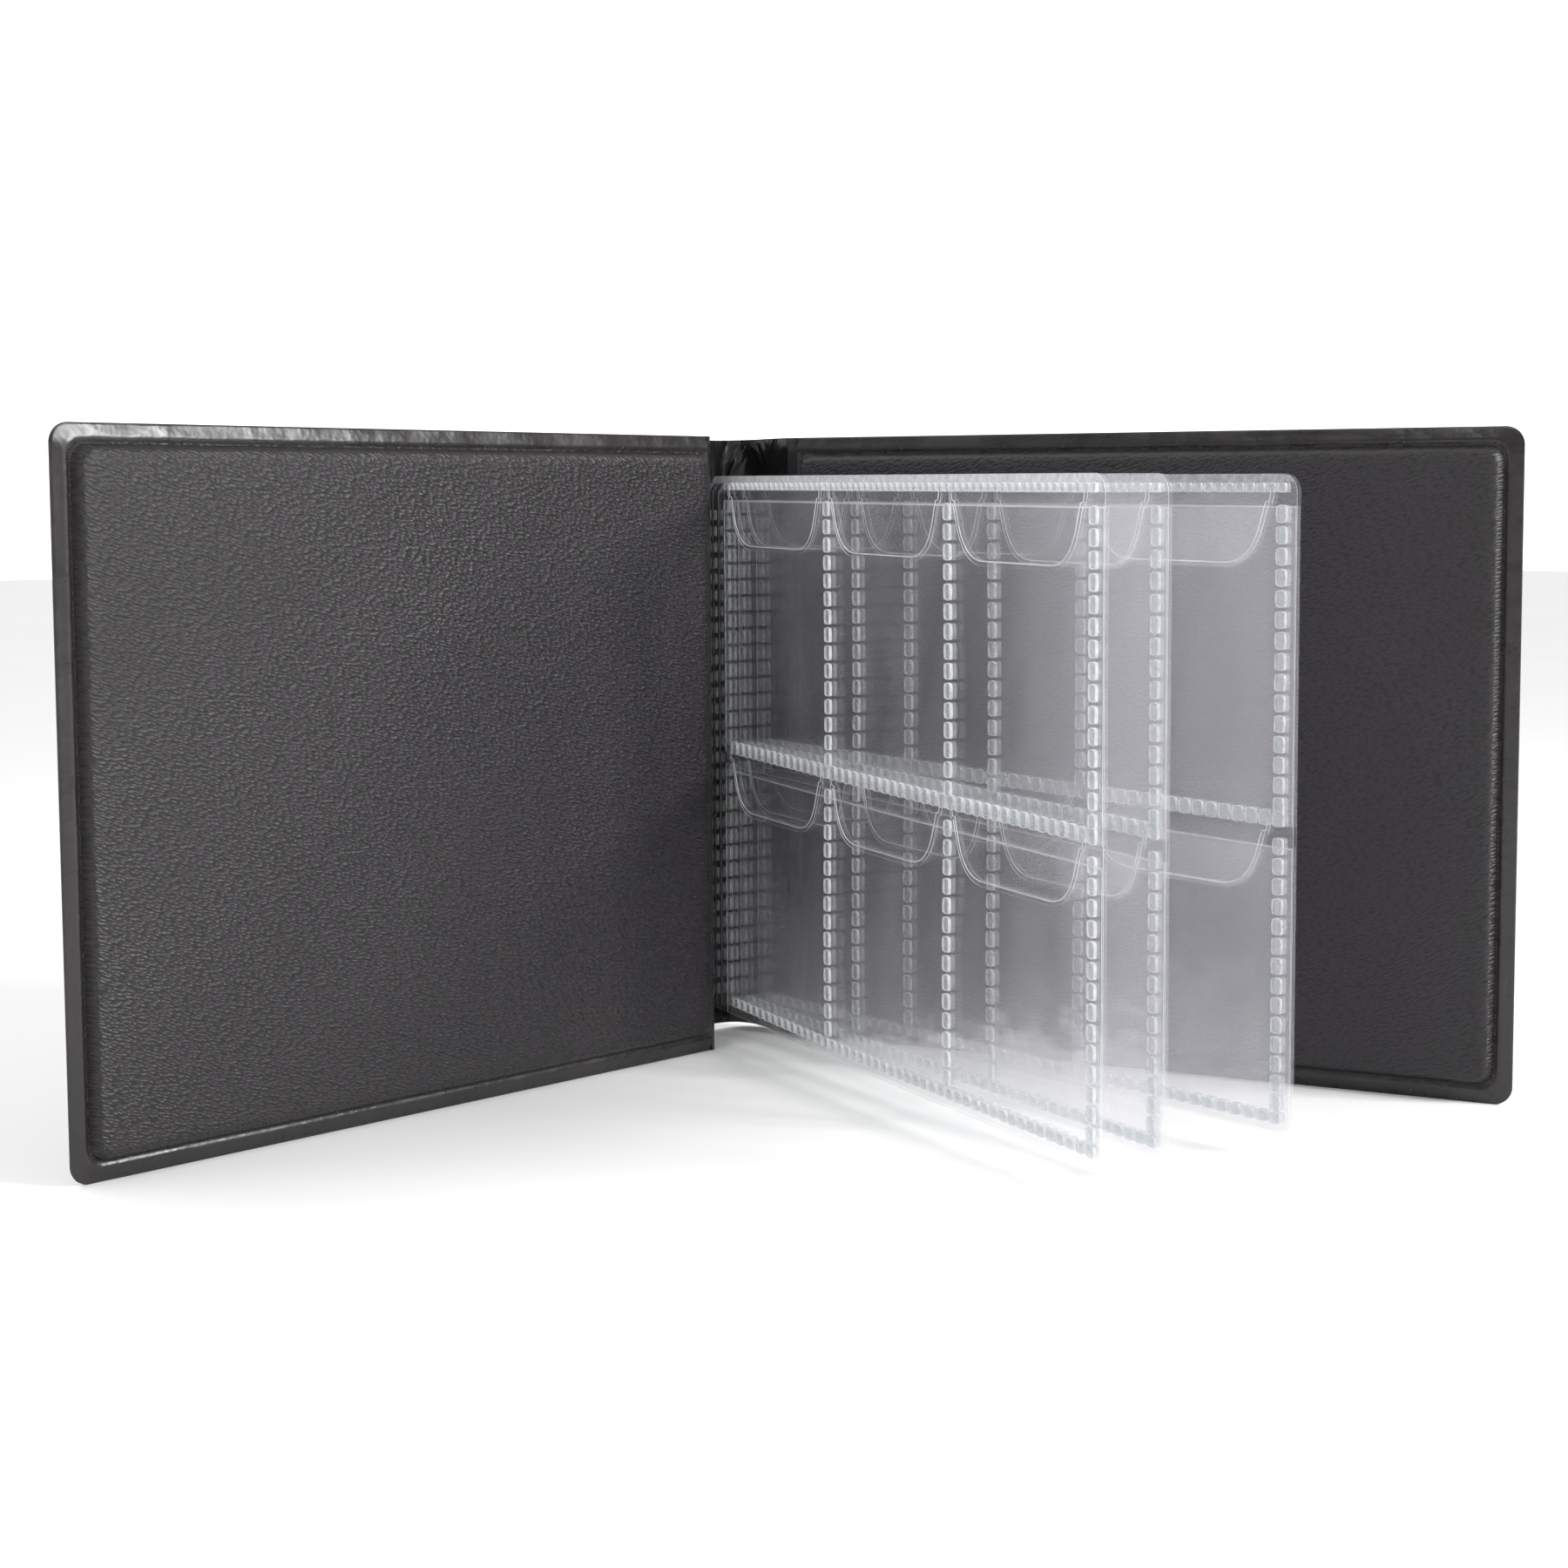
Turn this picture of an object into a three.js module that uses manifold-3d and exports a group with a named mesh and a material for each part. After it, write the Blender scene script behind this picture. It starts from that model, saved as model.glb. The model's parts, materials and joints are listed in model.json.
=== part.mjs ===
// Pocket album for coins in 50 mm holders, standing on its bottom edges and opened like a book.
// Units are millimetres. +Z is up, +X runs along the spine's mouth from the front cover to the
// back cover, and -Y points to the reader. The origin is the middle of the spine's foot.
import * as THREE from 'three';
import { mergeVertices } from 'three/addons/utils/BufferGeometryUtils.js';
import Module from 'manifold-3d';

const wasm = await Module();
wasm.setup();

// Covers: a board between a flat outer skin and a lining that is raised over the board.
const coverWidth = 175;
const coverHeight = 145;
const coverCornerRadius = 4;
const boardThickness = 2;
const skinThickness = 0.6;
const liningThickness = 0.6;
const weldBorder = 4.4; // flat welded edge on the three free sides
const hingeBorder = 2.8; // from the hinge line to the raised panel
const panelSlope = 0.5; // how far the raised panel's edge leans in
const panelCornerRadius = 2.5;

// Spine: a soft U-shaped channel between the two hinge lines, with no board in it.
const spineWidth = 26.4; // hinge line to hinge line
const spineDepth = 18; // how far the spine bows out behind the hinge lines
const spineCornerRadius = 5;
const hingeSetback = 1.5; // from a hinge line to the welded sheets on either side of it

// Pages: six clear sheets with two rows of three pockets.
const pageCount = 6;
const pageEdgeInset = 13.8; // how far a closed cover reaches past the pages' outer edges
const pageHeadroom = 9.7; // from the pages' upper edge to the top of the covers
const pageFoot = 5.6; // height of the pages' lower edge above the covers' foot
const pageGap = 0.3; // free space between neighbouring pages where they are rooted
const stackToWall = 3.9; // from the last page's root to the spine's wall on the back cover's side
const sheetThickness = 0.3;
const pageCornerRadius = 3;
const marginLength = 10; // from a page's root in the spine to its fold
const foldSetback = 0.3; // from the fold to the sheets on either side of it
const pocketColumns = 3;
const innerWeld = 2; // from the fold to the first upright weld
const outerWeld = 3.6; // from the last upright weld to the page's outer edge
const weldWidth = 2.6;
const topWeld = 2.6; // from the page's upper edge down to the middle of the upper weld
const footWeld = 3; // from the page's lower edge up to the middle of the lower weld
const middleWeldDrop = 1.4; // how far the middle weld is below the middle of the other two
const upperMouthDrop = 3.4; // from the upper weld down to the mouths of the upper pockets
const lowerMouthDrop = 5.5; // from the middle weld down to the mouths of the lower pockets
const flapLength = 15.3; // from a row's weld down to the tip of its flaps
const flapBand = 1.6; // the strip along the weld that joins the three flaps
const flapSideGap = 1.2; // between a flap's widest place and the weld beside it
const flapTaper = 4.5; // how far each side of a flap runs in from top to tip
const flapCornerRadius = 8; // how far the rounding of a flap's tip reaches along its sides

const clearance = 0.3; // between two meshes that touch
const arcSegments = 6; // facets in a quarter turn
const mergeDistance = 1e-5; // points nearer than this are one point
const cutterMargin = 1; // how far a cutting block reaches past what it cuts
const pagesPerPair = 2;

// Directions in which the opened parts point, in degrees seen from above: 0 is +X, -90 the reader.
const straightOut = -90;
const frontCoverHeading = -175.1;
const backCoverHeading = -71.1;
const pairFan = [16.4, 12.75, 3]; // each pair of pages leans this far towards the front cover

const black = new THREE.MeshStandardMaterial({ color: 0x343134, roughness: 0.5, metalness: 0 });
const blackGloss = new THREE.MeshStandardMaterial({ color: 0x1b191a, roughness: 0.3, metalness: 0 });
const greyBoard = new THREE.MeshStandardMaterial({ color: 0x8d867a, roughness: 0.9, metalness: 0 });
const clear = new THREE.MeshStandardMaterial({
  color: 0xc9cbcf, roughness: 0.15, metalness: 0, transparent: true, opacity: 0.35,
});

const album = new THREE.Group();

// ---- shared shapes ----

function named(name, geometry, material) {
  const mesh = new THREE.Mesh(geometry, material);
  mesh.name = name;
  return mesh;
}

// A flat outline from x0 to x1 and y0 to y1 whose corners at x1 are rounded.
function tabOutline(x0, x1, y0, y1, lowerRadius, upperRadius) {
  const shape = new THREE.Shape();
  shape.moveTo(x0, y0);
  shape.lineTo(x1 - lowerRadius, y0);
  if (lowerRadius > 0) shape.absarc(x1 - lowerRadius, y0 + lowerRadius, lowerRadius, -Math.PI / 2, 0, false);
  shape.lineTo(x1, y1 - upperRadius);
  if (upperRadius > 0) shape.absarc(x1 - upperRadius, y1 - upperRadius, upperRadius, 0, Math.PI / 2, false);
  shape.lineTo(x0, y1);
  shape.closePath();
  return shape;
}

function roundedOutline(x0, x1, y0, y1, radius) {
  const shape = new THREE.Shape();
  shape.absarc(x1 - radius, y0 + radius, radius, -Math.PI / 2, 0, false);
  shape.absarc(x1 - radius, y1 - radius, radius, 0, Math.PI / 2, false);
  shape.absarc(x0 + radius, y1 - radius, radius, Math.PI / 2, Math.PI, false);
  shape.absarc(x0 + radius, y0 + radius, radius, Math.PI, 1.5 * Math.PI, false);
  shape.closePath();
  return shape;
}

// A sheet lies in X and Y here, and its thickness runs along Z from one level to another.
function slab(shape, from, to) {
  const geometry = new THREE.ExtrudeGeometry(shape, {
    depth: to - from, bevelEnabled: false, curveSegments: arcSegments,
  });
  geometry.translate(0, 0, from);
  return geometry;
}

function toManifold(geometry) {
  const bare = geometry.clone();
  bare.deleteAttribute('normal');
  bare.deleteAttribute('uv');
  const merged = mergeVertices(bare, mergeDistance);
  return new wasm.Manifold(new wasm.Mesh({
    numProp: 3,
    vertProperties: new Float32Array(merged.attributes.position.array),
    triVerts: new Uint32Array(merged.index.array),
  }));
}

function fromManifold(solid) {
  const mesh = solid.getMesh();
  const geometry = new THREE.BufferGeometry();
  geometry.setAttribute('position', new THREE.BufferAttribute(new Float32Array(mesh.vertProperties), 3));
  geometry.setIndex(new THREE.BufferAttribute(new Uint32Array(mesh.triVerts), 1));
  geometry.computeVertexNormals();
  return geometry;
}

// ---- spine ----

const wallGap = clearance / 2; // from the middle of the wall to the skin and to the lining
const outerOffset = wallGap + skinThickness;
const innerOffset = wallGap + liningThickness;
const mouthY = -(spineDepth + wallGap + skinThickness / 2); // where the two hinge lines stand

// A band that follows the channel between two offsets from the middle of its wall, positive outwards.
function channelBand(low, high) {
  const half = spineWidth / 2;
  const endY = mouthY + hingeSetback;
  const cornerY = mouthY + spineDepth - spineCornerRadius;
  const cornerX = half - spineCornerRadius;
  const outer = spineCornerRadius + high;
  const inner = spineCornerRadius + low;
  const shape = new THREE.Shape();
  shape.moveTo(half + low, endY);
  shape.lineTo(half + high, endY);
  shape.absarc(cornerX, cornerY, outer, 0, Math.PI / 2, false);
  shape.absarc(-cornerX, cornerY, outer, Math.PI / 2, Math.PI, false);
  shape.lineTo(-half - high, endY);
  shape.lineTo(-half - low, endY);
  shape.absarc(-cornerX, cornerY, inner, Math.PI, Math.PI / 2, true);
  shape.absarc(cornerX, cornerY, inner, Math.PI / 2, 0, true);
  shape.closePath();
  return shape;
}

album.add(named('spine_skin', slab(channelBand(wallGap, outerOffset), 0, coverHeight), black));
album.add(named('spine_lining', slab(channelBand(-innerOffset, -wallGap), 0, coverHeight), blackGloss));

// ---- covers ----

// The cover lies flat with its hinge line on the Y axis and its inner side up.
function coverPieces(prefix) {
  const panelTop = wallGap + boardThickness + clearance + liningThickness;
  const boardInset = panelSlope + liningThickness + clearance;
  const x0 = hingeBorder;
  const x1 = coverWidth - weldBorder;
  const y0 = weldBorder;
  const y1 = coverHeight - weldBorder;

  const sheet = tabOutline(hingeSetback, coverWidth, 0, coverHeight, coverCornerRadius, coverCornerRadius);
  const skin = slab(sheet, -outerOffset, -wallGap);

  const board = slab(
    roundedOutline(x0 + boardInset, x1 - boardInset, y0 + boardInset, y1 - boardInset, panelCornerRadius),
    wallGap, wallGap + boardThickness,
  );

  // The raised panel: a lower step and, on it, a narrower one that leans in.
  const rise = new THREE.ExtrudeGeometry(
    roundedOutline(x0 + panelSlope, x1 - panelSlope, y0 + panelSlope, y1 - panelSlope, panelCornerRadius),
    {
      depth: panelTop - wallGap - panelSlope, bevelEnabled: true, bevelThickness: panelSlope,
      bevelSize: panelSlope, bevelOffset: 0, bevelSegments: 2, curveSegments: arcSegments,
    },
  );
  rise.translate(0, 0, wallGap);
  const hollowInset = boardInset - clearance;
  const hollow = slab(
    roundedOutline(x0 + hollowInset, x1 - hollowInset, y0 + hollowInset, y1 - hollowInset, panelCornerRadius),
    wallGap - panelSlope - cutterMargin, wallGap + boardThickness + clearance,
  );
  const below = slab(
    tabOutline(-cutterMargin, coverWidth + cutterMargin, -cutterMargin, coverHeight + cutterMargin, 0, 0),
    wallGap - panelSlope - 2 * cutterMargin, wallGap,
  );
  const lining = toManifold(slab(sheet, wallGap, innerOffset))
    .add(toManifold(rise))
    .subtract(toManifold(below))
    .subtract(toManifold(hollow));

  return [
    named(`${prefix}_skin`, skin, black),
    named(`${prefix}_board`, board, greyBoard),
    named(`${prefix}_lining`, fromManifold(lining), black),
  ];
}

// The group turns about the hinge line; the cover inside it stands upright, inner side to the reader.
function hingedCover(prefix, hingeX, heading, innerSideLeft) {
  const hinge = new THREE.Group();
  hinge.position.set(hingeX, mouthY, 0);
  hinge.rotation.z = THREE.MathUtils.degToRad(heading);
  const upright = new THREE.Group();
  upright.rotation.x = innerSideLeft ? -Math.PI / 2 : Math.PI / 2;
  upright.position.z = innerSideLeft ? coverHeight : 0;
  upright.add(...coverPieces(prefix));
  hinge.add(upright);
  return hinge;
}

album.add(hingedCover('front', -spineWidth / 2, frontCoverHeading, true));
album.add(hingedCover('back', spineWidth / 2, backCoverHeading, false));

// ---- pages ----

// The margin starts at the page's root by the spine's lining, and the page starts at its far end.
const rootY = -(skinThickness / 2 + clearance + liningThickness + clearance + sheetThickness / 2);
const pageWidth = coverWidth - mouthY - pageEdgeInset + rootY - marginLength;
const pageTop = coverHeight - pageHeadroom;
const sheetPitch = sheetThickness + clearance;
const pageSpacing = 3 * sheetThickness + 2 * clearance + pageGap; // three layers, then the next page
const lastRootX = spineWidth / 2 - stackToWall;
const columnPitch = (pageWidth - innerWeld - outerWeld) / pocketColumns;
const upperWeldZ = pageTop - topWeld;
const lowerWeldZ = pageFoot + footWeld;
const middleWeldZ = (upperWeldZ + lowerWeldZ) / 2 - middleWeldDrop;
const columns = [...Array(pocketColumns).keys()];

// Level 0 is the back sheet, 1 the pockets and 2 the flaps, which lie over the pockets' mouths.
function layer(shape, level) {
  const low = level * sheetPitch - sheetThickness / 2;
  return slab(shape, low, low + sheetThickness);
}

function flapSides(column) {
  const inset = weldWidth / 2 + flapSideGap;
  return [innerWeld + column * columnPitch + inset, innerWeld + (column + 1) * columnPitch - inset];
}

// One flap's tapering sides and rounded tip, drawn from left to right below its band.
function addTongue(shape, column, weldZ) {
  const [left, right] = flapSides(column);
  const bandZ = weldZ - flapBand;
  const tipZ = weldZ - flapLength;
  const straightShare = 1 - flapCornerRadius / (flapLength - flapBand);
  const roundZ = tipZ + flapCornerRadius;
  shape.lineTo(left, bandZ);
  shape.lineTo(left + flapTaper * straightShare, roundZ);
  shape.quadraticCurveTo(left + flapTaper, tipZ, left + flapTaper + flapCornerRadius, tipZ);
  shape.lineTo(right - flapTaper - flapCornerRadius, tipZ);
  shape.quadraticCurveTo(right - flapTaper, tipZ, right - flapTaper * straightShare, roundZ);
  shape.lineTo(right, bandZ);
}

// Flaps hanging from the weld at weldZ and joined by the band along it.
function flapOutline(flapColumns, weldZ) {
  const shape = new THREE.Shape();
  shape.moveTo(flapSides(flapColumns[0])[0], weldZ);
  for (const column of flapColumns) addTongue(shape, column, weldZ);
  shape.lineTo(flapSides(flapColumns[flapColumns.length - 1])[1], weldZ);
  shape.closePath();
  return shape;
}

function flapPieces(prefix, weldZ, cutApart) {
  if (!cutApart) return [named(`${prefix}_flaps`, layer(flapOutline(columns, weldZ), 2), clear)];
  return columns.map((column) => (
    named(`${prefix}_flap_${column + 1}`, layer(flapOutline([column], weldZ), 2), clear)
  ));
}

// On the first page nothing lies over the flaps, so each of them swings by itself.
function pagePieces(prefix, isFirst) {
  const pocketStart = innerWeld - weldWidth / 2;
  const backOutline = tabOutline(
    foldSetback, pageWidth, pageFoot, pageTop, pageCornerRadius, pageCornerRadius,
  );
  const upperOutline = tabOutline(
    pocketStart, pageWidth, middleWeldZ - weldWidth / 2, upperWeldZ - upperMouthDrop, 0, 0,
  );
  const lowerOutline = tabOutline(
    pocketStart, pageWidth, pageFoot, middleWeldZ - lowerMouthDrop, pageCornerRadius, 0,
  );
  return [
    named(`${prefix}_back_sheet`, layer(backOutline, 0), clear),
    named(`${prefix}_upper_pocket`, layer(upperOutline, 1), clear),
    named(`${prefix}_lower_pocket`, layer(lowerOutline, 1), clear),
    ...flapPieces(`${prefix}_upper`, upperWeldZ, isFirst),
    ...flapPieces(`${prefix}_lower`, middleWeldZ, isFirst),
  ];
}

for (let page = 0; page < pageCount; page += 1) {
  const prefix = `page_${page + 1}`;
  const fan = pairFan[Math.floor(page / pagesPerPair)];
  const root = new THREE.Group();
  root.position.set(lastRootX - (pageCount - 1 - page) * pageSpacing, rootY, 0);
  root.rotation.z = THREE.MathUtils.degToRad(straightOut - fan);
  const marginUpright = new THREE.Group();
  marginUpright.rotation.x = Math.PI / 2;
  const marginOutline = tabOutline(0, marginLength - foldSetback, pageFoot, pageTop, 0, 0);
  marginUpright.add(named(`${prefix}_margin`, layer(marginOutline, 0), clear));
  const fold = new THREE.Group();
  fold.position.x = marginLength;
  fold.rotation.x = Math.PI / 2;
  fold.add(...pagePieces(prefix, page === 0));
  root.add(marginUpright, fold);
  album.add(root);
}

export default album;
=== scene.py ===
# Coin album standing open on its bottom edges: two board-stiffened vinyl covers, a soft vinyl
# spine and six clear pocket pages. Metres, +Z up, -Y towards the reader.
import json
import math

import bpy
import numpy as np
from mathutils import Matrix, Vector


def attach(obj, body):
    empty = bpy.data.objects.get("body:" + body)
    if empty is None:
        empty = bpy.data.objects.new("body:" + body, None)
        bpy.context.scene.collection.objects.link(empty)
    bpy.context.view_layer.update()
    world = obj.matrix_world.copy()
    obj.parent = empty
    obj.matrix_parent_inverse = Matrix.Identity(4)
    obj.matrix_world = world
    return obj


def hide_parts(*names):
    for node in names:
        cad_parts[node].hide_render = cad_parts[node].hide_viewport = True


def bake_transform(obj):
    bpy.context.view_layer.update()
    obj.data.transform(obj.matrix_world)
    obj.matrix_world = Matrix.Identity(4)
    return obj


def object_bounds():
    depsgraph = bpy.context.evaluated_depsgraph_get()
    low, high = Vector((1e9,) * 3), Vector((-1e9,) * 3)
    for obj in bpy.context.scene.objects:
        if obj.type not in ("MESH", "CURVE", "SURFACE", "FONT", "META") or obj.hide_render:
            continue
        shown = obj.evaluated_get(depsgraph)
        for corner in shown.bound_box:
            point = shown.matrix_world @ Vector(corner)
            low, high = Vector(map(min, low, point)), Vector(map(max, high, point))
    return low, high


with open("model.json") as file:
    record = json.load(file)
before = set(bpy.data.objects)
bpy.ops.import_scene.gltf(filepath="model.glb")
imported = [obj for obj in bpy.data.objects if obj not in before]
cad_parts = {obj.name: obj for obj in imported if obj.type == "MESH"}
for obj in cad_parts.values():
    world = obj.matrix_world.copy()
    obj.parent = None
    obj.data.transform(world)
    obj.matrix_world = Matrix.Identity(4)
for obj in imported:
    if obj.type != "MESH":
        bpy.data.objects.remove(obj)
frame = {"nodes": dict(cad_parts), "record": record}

cad_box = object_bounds()
scene = bpy.context.scene

# ---- camera and studio ----
# A camera on a stand, a little below the covers' upper edges and looking slightly down on the
# open album, in a white studio with a soft light at the upper left and a stronger one at the right.
mm = 0.001
camera_place = Vector((-0.42819, -0.50185, 0.12920))
camera_heading, camera_pitch, camera_roll = (math.radians(a) for a in (46.909, 5.248, 0.213))
lens_mm, sensor_mm = 62.24, 36.0
lens_shift = (-0.02767, -0.01983)

ahead = Vector((
    math.cos(camera_heading) * math.cos(camera_pitch),
    math.sin(camera_heading) * math.cos(camera_pitch),
    -math.sin(camera_pitch),
))
level_right = Vector((math.sin(camera_heading), -math.cos(camera_heading), 0))
level_up = level_right.cross(ahead)
right = level_right * math.cos(camera_roll) - level_up * math.sin(camera_roll)
up = level_right * math.sin(camera_roll) + level_up * math.cos(camera_roll)
camera_data = bpy.data.cameras.new("camera")
camera_data.lens = lens_mm
camera_data.sensor_width = sensor_mm
camera_data.shift_x, camera_data.shift_y = lens_shift
camera_data.clip_start = 10 * mm
camera = bpy.data.objects.new("camera", camera_data)
camera_turn = Matrix((right, up, -ahead)).transposed().to_4x4()
camera.matrix_world = Matrix.Translation(camera_place) @ camera_turn
scene.collection.objects.link(camera)
scene.camera = camera
scene.view_settings.view_transform = "Standard"
scene.cycles.transparent_max_bounces = 48  # a sight line crosses two or three films of every page
scene.cycles.diffuse_bounces, scene.cycles.glossy_bounces = 2, 2


def linear(hex_colour):
    """sRGB hex to linear RGBA."""
    parts = [int(hex_colour[i:i + 2], 16) / 255 for i in (1, 3, 5)]
    return tuple(
        c / 12.92 if c <= 0.04045 else ((c + 0.055) / 1.055) ** 2.4 for c in parts
    ) + (1.0,)


def put(tree, kind, inputs=None, **settings):
    """Adds a node; an input is given a number, a colour or the socket that it is linked to."""
    node = tree.nodes.new(kind)
    for name, value in settings.items():
        setattr(node, name, value)
    for name, value in (inputs or {}).items():
        if isinstance(value, bpy.types.NodeSocket):
            tree.links.new(value, node.inputs[name])
        else:
            node.inputs[name].default_value = value
    return node


def new_material(name):
    material = bpy.data.materials.new(name)
    material.use_nodes = True
    material.node_tree.nodes.clear()
    return material, material.node_tree


studio = bpy.data.worlds.new("white studio")
studio.use_nodes = True
tree = studio.node_tree
tree.nodes.clear()
toward = put(tree, "ShaderNodeTexCoord")
toward = put(tree, "ShaderNodeSeparateXYZ", {"Vector": toward.outputs["Generated"]})
# White behind the album and overhead; the room on the reader's side is dimmer, which shapes the
# black.
behind = put(tree, "ShaderNodeMapRange", {
    "Value": toward.outputs["Y"], "From Min": 0.0, "From Max": 0.45, "To Min": 0.16, "To Max": 1.08,
}, interpolation_type="SMOOTHSTEP")
overhead = put(tree, "ShaderNodeMapRange", {
    "Value": toward.outputs["Z"], "From Min": 0.25, "From Max": 0.9, "To Min": 0.0, "To Max": 0.66,
}, interpolation_type="SMOOTHSTEP")
# A pale strip runs all round, just above where the floor ends.
strip = put(tree, "ShaderNodeMapRange", {
    "Value": toward.outputs["Z"], "From Min": 0.03, "From Max": 0.12, "To Min": 0.6, "To Max": 0.0,
}, interpolation_type="SMOOTHSTEP")
above = put(tree, "ShaderNodeMath", {
    0: behind.outputs["Result"], 1: overhead.outputs["Result"],
}, operation="ADD")
glow = put(tree, "ShaderNodeMath", {
    0: above.outputs["Value"], 1: strip.outputs["Result"],
}, operation="ADD")
sky = put(tree, "ShaderNodeBackground", {
    "Color": linear("#ffffff"), "Strength": glow.outputs["Value"],
})
put(tree, "ShaderNodeOutputWorld", {"Surface": sky.outputs["Background"]})
scene.world = studio

paper, tree = new_material("seamless white paper")
# Uncoated paper off a roll: matt, with a mottling that can hardly be seen.
mottling = 25 * mm
fibres = put(tree, "ShaderNodeTexNoise", {"Scale": 1 / mottling, "Detail": 2.0})
shade = put(tree, "ShaderNodeMix", {
    "Factor": fibres.outputs["Fac"], "A": linear("#f6f6f6"), "B": linear("#fafafa"),
}, data_type="RGBA")
sheet = put(tree, "ShaderNodeBsdfPrincipled", {
    "Base Color": shade.outputs["Result"], "Roughness": 0.9, "IOR": 1.45,
})
put(tree, "ShaderNodeOutputMaterial", {"Surface": sheet.outputs["BSDF"]})
floor_reach = 4.0
floor_corners = [
    (x * floor_reach, y * floor_reach, 0) for x, y in ((-1, -1), (1, -1), (1, 1), (-1, 1))
]
floor_mesh = bpy.data.meshes.new("floor")
floor_mesh.from_pydata(floor_corners, [], [(0, 1, 2, 3)])
floor_mesh.materials.append(paper)
floor = bpy.data.objects.new("floor", floor_mesh)
floor.location.z = cad_box[0][2]
scene.collection.objects.link(floor)

for lamp_name, place, aim, size, watts in (
    ("soft light left", (-0.75, -0.35, 0.80), (-0.10, -0.03, 0.09), 0.32, 1.7),
    ("soft light right", (0.35, -0.83, 0.47), (-0.10, -0.03, 0.12), 0.30, 8.4),
):
    lamp_data = bpy.data.lights.new(lamp_name, "AREA")
    lamp_data.size = size
    lamp_data.energy = watts
    lamp = bpy.data.objects.new(lamp_name, lamp_data)
    lamp.location = place
    lamp.rotation_euler = (Vector(aim) - Vector(place)).to_track_quat("-Z", "Y").to_euler()
    scene.collection.objects.link(lamp)

# ---- covers ----
# Each cover is a grey board between two films of embossed black PVC, leather-grained, with their
# free edges heat-welded into a flat, smoother border. The inner film rises over the board.
cover_width, cover_height = 175 * mm, 145 * mm
cover_start = 1.5 * mm  # the welded films begin this far from the hinge line
panel_inset, hinge_inset = 4.4 * mm, 2.8 * mm  # the raised panel, from a free side and the hinge
border_width = 3.6 * mm
film_thickness = 0.5 * mm
least_thickness = 0.05 * mm
panel_step = 4 * mm  # of the mesh, on the flat of a panel
# A ring is a line at one distance from the cover's edge; each profile is a height at such rings.
rings = np.array([
    0, .15, .5, 1, 1.6, 2.2, 2.7, 3.1, 3.4, 3.7, 4.0, 4.4, 4.7, 5.1, 5.7, 6.6, 8, 10, 12.5,
]) * mm
corner_rings = np.array([0, 4.4, 12]) * mm
free_corner = np.array([4.0, 3.4, 0]) * mm  # the corner's radius at each of these rings
hinge_corner_rings = np.array([0, 3.1, 4.4, 12]) * mm
hinge_corner = np.array([0, 0, 2.8, 0]) * mm
profile_rings = np.array([0, .15, .5, 1.0, 2.9, 3.3, 3.8, 4.1, 4.4, 4.8, 5.4, 6.4, 8, 12]) * mm
inner_profile = np.array([
    .12, .22, .3, .4, .82, .66, .4, .5, 1.2, 2.35, 2.82, 2.97, 3.01, 3.04,
]) * mm
outer_profile = np.array([
    .33, .5, .58, .6, .6, .55, .42, .45, .52, .6, .66, .7, .72, .74,
]) * mm
crown_height, crown_reach = 0.12 * mm, 12 * mm
ripple_height, ripple_across, ripple_up = 0.07 * mm, 9 * mm, 11 * mm
ripple_start = 1 * mm  # the outermost edge stays straight
outer_ripple = 0.4  # the outer film ripples less than the inner one
sharp_bend = math.radians(50)  # a film's faces that meet more steeply than this don't blend
hair = 1e-9


def shell(name, near, far, uv, materials, patch=None, rim=0, backed=True):
    """A thin body between two grids of points, with uv in metres along the sheet."""
    rows, cols = near.shape[:2]
    size = rows * cols
    grid = np.arange(size).reshape(rows, cols)
    corners = [grid[:-1, :-1], grid[:-1, 1:], grid[1:, 1:], grid[1:, :-1]]
    quads = np.stack(corners, -1).reshape(-1, 4)
    border = np.concatenate([grid[0, :-1], grid[:-1, -1], grid[-1, :0:-1], grid[:0:-1, 0]])
    after = np.roll(border, -1)
    sides = np.stack([border, border + size, after + size, after], -1)
    sheets = [quads, quads[:, ::-1] + size] if backed else [quads]
    faces = np.concatenate(sheets + [sides])
    points = np.concatenate([near.reshape(-1, 3), far.reshape(-1, 3)])
    mesh = bpy.data.meshes.new(name)
    mesh.from_pydata(points.tolist(), [], faces.tolist())
    for material in materials:
        mesh.materials.append(material)
    flat = np.zeros(len(quads), int) if patch is None else np.asarray(patch, int).reshape(-1)
    finish_of_face = np.concatenate([flat] * len(sheets) + [np.full(len(sides), rim)])
    mesh.polygons.foreach_set("material_index", finish_of_face)
    places = np.concatenate([uv.reshape(-1, 2)] * 2)
    point_of_loop = np.empty(len(mesh.loops), int)
    mesh.loops.foreach_get("vertex_index", point_of_loop)
    film_uv = mesh.uv_layers.new(name="film")
    film_uv.data.foreach_set("uv", places[point_of_loop].astype(np.float32).reshape(-1))
    mesh.update()
    mesh.shade_smooth()
    mesh.set_sharp_from_angle(angle=sharp_bend)
    piece = bpy.data.objects.new(name, mesh)
    scene.collection.objects.link(piece)
    return piece


def lines_between(start, end, step):
    return np.linspace(start, end, max(2, round((end - start) / step) + 1))


def rounded(a, b, radius_rings, radii):
    """Insets a and b from two sides, moved so that every ring turns the corner on an arc."""
    ring, along = np.minimum(a, b), np.maximum(a, b)
    radius = np.interp(ring, radius_rings, radii)
    safe = np.maximum(radius, hair)
    angle = (1 - np.clip((along - ring) / safe, 0, 1)) * math.pi / 4
    turning = (along < ring + radius) & (radius > 0)
    small = np.where(turning, ring + radius * (1 - np.cos(angle)), ring)
    large = np.where(turning, ring + radius * (1 - np.sin(angle)), along)
    return np.where(a <= b, small, large), np.where(a <= b, large, small), ring


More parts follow.
